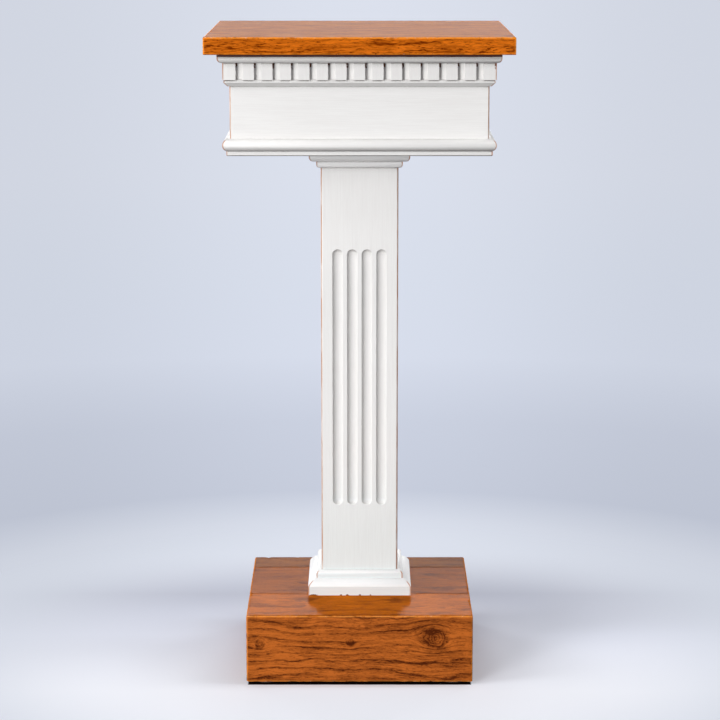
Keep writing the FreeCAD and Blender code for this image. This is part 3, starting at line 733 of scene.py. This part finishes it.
def mottled(name, light, dark, cell, roughness, depth, metallic=0.0):
    """A mottled surface with a relief of the given depth, in metres."""
    g = Graph(name)
    mottle = g.grey_noise(g.place(), cell, detail=4.0, roughness=0.6)
    return g.principled(
        Base_Color=g.mix(g.ease(mottle, *NOISE_RANGE), light, dark),
        Roughness=g.ease(mottle, *NOISE_RANGE, roughness, roughness + 0.12),
        Metallic=metallic,
        Normal=g.bump(mottle, depth),
    )


def soften(piece):
    """Paint rounds every sharp arris a little."""
    weld = piece.modifiers.new("weld", "WELD")
    weld.merge_threshold = MM / 100
    bevel = piece.modifiers.new("bevel", "BEVEL")
    bevel.width = PAINTED_ARRIS
    bevel.segments = 2
    bevel.limit_method = "ANGLE"
    bevel.angle_limit = math.radians(SHARP_ANGLE)
    bevel.harden_normals = True
    bevel.use_clamp_overlap = True


def finish_frame_nodes():
    """Materials, and small bevels on the painted pieces, for the frame's own nodes. The stained
    timbers are left out, because worn_block replaces them."""
    made = paints()
    plain = {slot: mottled(slot, **look) for slot, look in PLAIN_FINISHES.items()}
    for name, piece in frame["nodes"].items():
        slot = piece.data.materials[0].name.split(".")[0]
        if slot == "white_paint":
            finish = paint_for(name, made)
            soften(piece)
        elif slot in plain:
            finish = plain[slot]
        else:
            continue
        piece.material_slots[0].link = "OBJECT"
        piece.material_slots[0].material = finish


# ---------------------------------------------------------------- worn wooden blocks

ARC_STEPS = (0.0, 15.0, 30.0, 45.0)  # degrees along one half of a rounded arris
MESH_STEP = 2.5 * MM

# Radii of the arrises.
SEAM_EASE = 0.25 * MM
PLINTH_EASE = 2.2 * MM
LOWER_EASE = 0.8 * MM  # the slabs' lower arrises
TOP_EASE = 1.3 * MM

PLINTH_WEAR = 1.6 * MM  # how deep a knock goes where the noise is 1
TOP_WEAR = 1.0 * MM
DEEPEST_KNOCK = 0.5  # of the arris's radius
KNOCKS_PER_METRE = 95.0
KNOCK_NOISE = (0.8, 2.0, 4)  # increment factor, lacunarity and octaves
UNKNOCKED = 0.18  # the noise leaves no dent up to here


def spread(low, high, radius_low, radius_high):
    """Places along one axis: close together in the eased ends, MESH_STEP apart between them."""
    places = []
    for angle in reversed(ARC_STEPS):
        places.append(low + radius_low * (1.0 - math.tan(math.radians(angle))))
    start = low + radius_low
    end = high - radius_high
    count = max(1, round((end - start) / MESH_STEP))
    places += [start + (end - start) * number / count for number in range(1, count)]
    for angle in ARC_STEPS:
        places.append(high - radius_high * (1.0 - math.tan(math.radians(angle))))
    return places


def box_shell(bm, xs, ys, zs):
    """The closed surface of a box as quads on the given places."""
    made = {}

    def vertex(index):
        if index not in made:
            i, j, k = index
            made[index] = bm.verts.new((xs[i], ys[j], zs[k]))
        return made[index]

    last = (len(xs) - 1, len(ys) - 1, len(zs) - 1)
    for axis in range(3):
        first, second = [other for other in range(3) if other != axis]
        for side in (0, last[axis]):
            outward = (side > 0) != (axis == 1)
            for a in range(last[first]):
                for b in range(last[second]):
                    corners = []
                    for da, db in ((0, 0), (1, 0), (1, 1), (0, 1)):
                        index = [0, 0, 0]
                        index[axis] = side
                        index[first] = a + da
                        index[second] = b + db
                        corners.append(vertex(tuple(index)))
                    bm.faces.new(corners if outward else corners[::-1])


def easing(low, high, slab, ease):
    """The arris radius at each axis's low and high side: ease on the slab's outside, tiny at seams."""
    radii = []
    for axis in range(3):
        sides = ((low[axis], slab[0][axis]), (high[axis], slab[1][axis]))
        radii.append([ease if abs(here - outer) < MM / 10 else SEAM_EASE for here, outer in sides])
    radii[2][0] = LOWER_EASE
    return radii


def eased(point, low, high, radii):
    """The point moved onto the rounded arris, the way out there and the arris's least radius; the
    way out is None on the flat of a face."""
    centre = Vector(point)
    own = [1.0, 1.0, 1.0]
    near = []
    for axis in range(3):
        if point[axis] < low[axis] + radii[axis][0]:
            centre[axis] = low[axis] + radii[axis][0]
            own[axis] = radii[axis][0]
            near.append(own[axis])
        elif point[axis] > high[axis] - radii[axis][1]:
            centre[axis] = high[axis] - radii[axis][1]
            own[axis] = radii[axis][1]
            near.append(own[axis])
    if len(near) < 2:
        return point, None, 0.0
    out = Vector([(point[axis] - centre[axis]) / own[axis] for axis in range(3)]).normalized()
    return centre + Vector([out[axis] * own[axis] for axis in range(3)]), out, min(near)


def worn_block(node, slab, ease, wear, material, seed):
    """Replaces a timber of an edge-glued slab with one that has rounded, knocked outer arrises."""
    low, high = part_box(node)
    radii = easing(low, high, slab, ease)
    bm = bmesh.new()
    box_shell(bm, *[spread(low[axis], high[axis], *radii[axis]) for axis in range(3)])
    shift = Vector((seed, seed * 2.0, seed * 3.0))
    for vert in bm.verts:
        place, out, least = eased(vert.co.copy(), low, high, radii)
        if out is None:
            continue
        if least > SEAM_EASE:
            knock = noise.fractal((place + shift) * KNOCKS_PER_METRE, *KNOCK_NOISE)
            place -= out * min(max(0.0, knock - UNKNOCKED) * wear, ease * DEEPEST_KNOCK)
        vert.co = place
    name = f"worn_{node}"
    mesh = bpy.data.meshes.new(name)
    bm.to_mesh(mesh)
    bm.free()
    mesh.polygons.foreach_set("use_smooth", [True] * len(mesh.polygons))
    mesh.materials.append(material)
    piece = bpy.data.objects.new(name, mesh)
    bpy.context.scene.collection.objects.link(piece)
    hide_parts(node)
    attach(piece, BODY)
    return piece


COUNTERBORE_RADIUS = 11.0 * MM
CUT_BELOW = 5.0 * MM  # how far the cutters reach out of the timber
BORE_ANGLE = 40.0  # degrees at an arris that stays sharp


def counterbores(piece):
    """Bores up to the lag screws' washers from the underside of the plinth."""
    low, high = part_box("plinth_washers")
    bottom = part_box("plinth_middle_timber")[0].z - CUT_BELOW
    washer = (high.y - low.y) / 2.0
    for x in (low.x + washer, high.x - washer):
        middle = Vector((x, 0.0, (bottom + high.z) / 2.0))
        bpy.ops.mesh.primitive_cylinder_add(vertices=64, radius=COUNTERBORE_RADIUS,
                                            depth=high.z - bottom, location=middle)
        cutter = bpy.context.object
        cut = piece.modifiers.new("bore", "BOOLEAN")
        cut.object = cutter
        cut.operation = "DIFFERENCE"
        cut.solver = "EXACT"
        bpy.context.view_layer.objects.active = piece
        bpy.ops.object.modifier_apply(modifier=cut.name)
        bpy.data.objects.remove(cutter)
    piece.data.set_sharp_from_angle(angle=math.radians(BORE_ANGLE))


def slab_box(nodes):
    """The lowest and highest corner of the slab that the nodes make."""
    boxes = [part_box(node) for node in nodes]
    low = Vector([min(box[0][axis] for box in boxes) for axis in range(3)])
    high = Vector([max(box[1][axis] for box in boxes) for axis in range(3)])
    return low, high


# Each timber with its pith, as (y, z) in millimetres.
PLINTH = {
    "plinth_front_timber": (-60.0, -150.0),
    "plinth_middle_timber": (30.0, -90.0),
    "plinth_back_timber": (150.0, -160.0),
}
TOP = {
    "top_board_front": (-127.0, 655.0),
    "top_board_middle": (6.0, 655.0),
    "top_board_back": (139.0, 655.0),
}

# Knots on the plinth's front: ((x, z), radius) in millimetres.
FRONT_KNOTS = (((86.0, 56.0), 12.0), ((-10.5, 50.5), 3.6), ((-113.0, 48.5), 4.6))


def wooden_slabs():
    """The plinth and the top, each of three worn timbers in its own stain."""
    slab = slab_box(PLINTH)
    for number, (node, pith) in enumerate(PLINTH.items()):
        knots = FRONT_KNOTS if number == 0 else ()
        stain = PLINTH_STAINS[number]
        wood = stained_wood(f"{node}_stain", stain, in_mm(slab), pith, knots, seed=number * 31.0)
        piece = worn_block(node, slab, PLINTH_EASE, PLINTH_WEAR, wood, seed=number * 0.7)
        if node == "plinth_middle_timber":
            counterbores(piece)
    slab = slab_box(TOP)
    for number, (node, pith) in enumerate(TOP.items()):
        wood = stained_wood(f"{node}_stain", TOP_STAIN, in_mm(slab), pith, seed=200.0 + number * 17.0)
        worn_block(node, slab, TOP_EASE, TOP_WEAR, wood, seed=5.0 + number * 0.7)


# ---------------------------------------------------------------- stage, light and camera

STAGE_RADIUS = 60.0

# The floor's colour by y, from FLOOR_FRONT in front of the axis backwards. Its dip behind the plinth is
# painted shade, for the shadows that fall there.
FLOOR_FRONT = 0.17
FLOOR_SEEN = (
    (0.00, srgb(244, 246, 253)),
    (0.22, srgb(221, 225, 238)),
    (0.40, srgb(174, 178, 193)),
    (0.60, srgb(206, 211, 223)),
)
FLOOR_TO_BOUNCE = srgb(118, 119, 123)

# A share of the floor's colour is even glow, which thins the shadow but for GLOW_GAP round the plinth.
FLOOR_GLOW = srgb(236, 238, 246)
GLOW_SHARE = 0.15
GLOW_GAP = 0.05

# In front of the plinth that share is larger, which balances the stain's warm bounce.
FRONT_GLOW_SHARE = 0.62
FRONT_GLOW_GAP = 0.02
FRONT_GLOW_FULL = 0.09
FRONT_GLOW_END = 0.24
FRONT_GLOW_SIDE = 0.05

CONTACT_GAP = 1.7 * MM  # round the plinth, where the painted contact shadow on the floor is darkest
CONTACT_INSET = 2.5 * MM  # how far inside the plinth's sides that darkness ends
# The colour of the painted contact shadow round and under the plinth.
CONTACT_SHADE = srgb(30, 22, 20)

# Between these distances from the axis the floor turns into the backdrop.
NEAR_FLOOR = 0.26
FAR_FLOOR = 0.58
BACKDROP_REACH = 5.0
BACKDROP = (
    (0.30, srgb(226, 229, 239)),
    (0.45, srgb(218, 223, 234)),
    (0.62, srgb(211, 216, 228)),
    (0.80, srgb(194, 200, 215)),
    (1.30, srgb(198, 204, 219)),
    (1.90, srgb(210, 216, 230)),
    (2.90, srgb(211, 217, 230)),
    (5.00, srgb(214, 219, 231)),
)

# The backdrop's level falls from the first value in the middle to the second at the sides, over
# VIGNETTE_WIDTH to the side for each metre from y = -VIGNETTE_FROM.
VIGNETTE_FROM = 2.92
VIGNETTE_WIDTH = 0.14
VIGNETTE_LEVELS = (1.06, 0.95)


def glow(g, colour):
    """A surface that shows its colour as it is, whatever the light."""
    return g.node("ShaderNodeEmission", {"Color": colour, "Strength": 1.0}).outputs[0]


def near_floor(g, x, y, path, seen):
    """The floor round the plinth, which takes the object's shadow."""
    low, high = slab_box(PLINTH)
    middle = (low.y + high.y) / 2.0
    aside = g.subtract(g.size_of(x), high.x)
    before = g.subtract(g.size_of(g.subtract(y, middle)), (high.y - low.y) / 2.0)
    everywhere = g.ease(g.larger(aside, before), 0.0, GLOW_GAP, 0.0, GLOW_SHARE)
    ahead = g.subtract(low.y, y)
    in_front = g.multiply(
        g.ease(ahead, 0.0, FRONT_GLOW_GAP),
        g.ease(ahead, FRONT_GLOW_END, FRONT_GLOW_FULL),
        g.ease(aside, FRONT_GLOW_SIDE, -FRONT_GLOW_SIDE),
        FRONT_GLOW_SHARE,
    )
    glow_share = g.multiply(seen, g.larger(everywhere, in_front))

    # A painted contact shadow round and under the plinth.
    contact = g.ease(g.larger(g.add(aside, CONTACT_INSET), before), CONTACT_GAP, 0.0)
    colour = g.mix(contact, g.colour_ramp(g.add(y, FLOOR_FRONT), FLOOR_SEEN), CONTACT_SHADE)
    shade = g.mix(path["Is Camera Ray"], FLOOR_TO_BOUNCE, colour)
    lit = g.node("ShaderNodeBsdfDiffuse", {"Color": shade}).outputs[0]
    return g.node("ShaderNodeMixShader", {0: glow_share, 1: lit, 2: glow(g, FLOOR_GLOW)}).outputs[0]


def backdrop(g, x, y, far):
    """An even pale backdrop, a little darker towards the sides."""
    stops = [(distance / BACKDROP_REACH, colour) for distance, colour in BACKDROP]
    colour = g.colour_ramp(g.divide(far, BACKDROP_REACH), stops)
    aside = g.divide(g.size_of(x), g.larger(g.add(y, VIGNETTE_FROM), 1.0))
    level = g.ease(aside, 0.0, VIGNETTE_WIDTH, *VIGNETTE_LEVELS)
    return glow(g, g.vector("MULTIPLY", colour, g.join(level, level, level)))


def stage():
    """A pale floor that keeps the object's shadow and turns into an even backdrop far behind it."""
    bpy.ops.mesh.primitive_circle_add(vertices=96, radius=STAGE_RADIUS, fill_type="TRIFAN")
    floor = bpy.context.object
    floor.name = "floor"
    g = Graph("floor")
    x, y, _ = g.split(g.node("ShaderNodeTexCoord").outputs["Object"])
    path = g.node("ShaderNodeLightPath").outputs
    seen = g.larger(path["Is Camera Ray"], path["Is Glossy Ray"])
    far = g.length(x, y)
    share = g.multiply(seen, g.ease(far, NEAR_FLOOR, FAR_FLOOR))
    parts = {0: share, 1: near_floor(g, x, y, path, seen), 2: backdrop(g, x, y, far)}
    floor.data.materials.append(g.finish(g.node("ShaderNodeMixShader", parts).outputs[0]))


FILL_COLOUR = srgb(253, 253, 255)
FILL_STRENGTH = 0.275
SKY_COLOUR = srgb(210, 215, 227)


def world():
    """An even fill light, with a pale sky where the camera or a reflection sees it."""
    made = bpy.data.worlds.new("studio")
    bpy.context.scene.world = made
    made.use_nodes = True
    tree = made.node_tree
    tree.nodes.clear()
    path = tree.nodes.new("ShaderNodeLightPath")
    seen = tree.nodes.new("ShaderNodeMath")
    seen.operation = "MAXIMUM"
    fill = tree.nodes.new("ShaderNodeBackground")
    fill.inputs["Color"].default_value = FILL_COLOUR
    fill.inputs["Strength"].default_value = FILL_STRENGTH
    sky = tree.nodes.new("ShaderNodeBackground")
    sky.inputs["Color"].default_value = SKY_COLOUR
    sky.inputs["Strength"].default_value = 1.0
    mix = tree.nodes.new("ShaderNodeMixShader")
    output = tree.nodes.new("ShaderNodeOutputWorld")
    tree.links.new(path.outputs["Is Camera Ray"], seen.inputs[0])
    tree.links.new(path.outputs["Is Glossy Ray"], seen.inputs[1])
    tree.links.new(seen.outputs[0], mix.inputs[0])
    tree.links.new(fill.outputs[0], mix.inputs[1])
    tree.links.new(sky.outputs[0], mix.inputs[2])
    tree.links.new(mix.outputs[0], output.inputs["Surface"])


AIM = Vector((0.0, 0.0, 0.4))  # what the lamps face

# (name, azimuth, elevation, distance, width, height, power): degrees, metres and watts.
# Azimuth 0 is in front of the object and 90 on its right.
SOFTBOXES = (
    ("key", -30.0, 6.0, 6.0, 1.85, 1.85, 233.0),
    ("key_high", -40.0, 14.0, 6.0, 1.6, 1.6, 63.0),
    ("left", -70.0, 35.0, 5.0, 1.7, 2.5, 82.0),
    ("right", 88.0, 42.0, 4.4, 1.6, 2.8, 60.0),
    ("back", 180.0, 10.4, 2.6, 1.3, 0.45, 22.0),
    ("back_left", -142.0, 10.0, 2.6, 0.8, 0.8, 17.0),
    ("back_right", 142.0, 10.0, 2.6, 0.8, 0.8, 17.0),
)


def softbox(name, azimuth, elevation, distance, width, height, power):
    """A rectangular lamp that faces AIM, and that the camera doesn't see."""
    turn = math.radians(azimuth)
    rise = math.radians(elevation)
    way = Vector((math.sin(turn) * math.cos(rise), -math.cos(turn) * math.cos(rise), math.sin(rise)))
    data = bpy.data.lights.new(name, "AREA")
    data.shape = "RECTANGLE"
    data.size = width
    data.size_y = height
    data.energy = power
    lamp = bpy.data.objects.new(name, data)
    lamp.location = AIM + way * distance
    lamp.rotation_euler = way.to_track_quat("Z", "Y").to_euler()
    lamp.visible_camera = False
    bpy.context.scene.collection.objects.link(lamp)


# The camera as fitted to the photo's edges: metres, degrees up from straight down, and millimetres.
CAMERA_PLACE = (0.00055, -2.9207, 0.8996)
CAMERA_TILT = 79.34
CAMERA_LENS = 126.68
CAMERA_SENSOR = 36.0


def camera():
    """The camera at the photo's angle."""
    data = bpy.data.cameras.new("camera")
    data.sensor_width = CAMERA_SENSOR
    data.lens = CAMERA_LENS
    data.clip_start = 0.05
    data.clip_end = 200.0
    view = bpy.data.objects.new("camera", data)
    view.location = CAMERA_PLACE
    view.rotation_euler = (math.radians(CAMERA_TILT), 0.0, 0.0)
    bpy.context.scene.collection.objects.link(view)
    bpy.context.scene.camera = view


def plain(box):
    """A box's corners as lists, which JSON can hold."""
    return [list(corner) for corner in box]


finish_frame_nodes()
wooden_slabs()
stage()
world()
for lamp in SOFTBOXES:
    softbox(*lamp)
camera()
bpy.context.scene.view_settings.view_transform = "Standard"
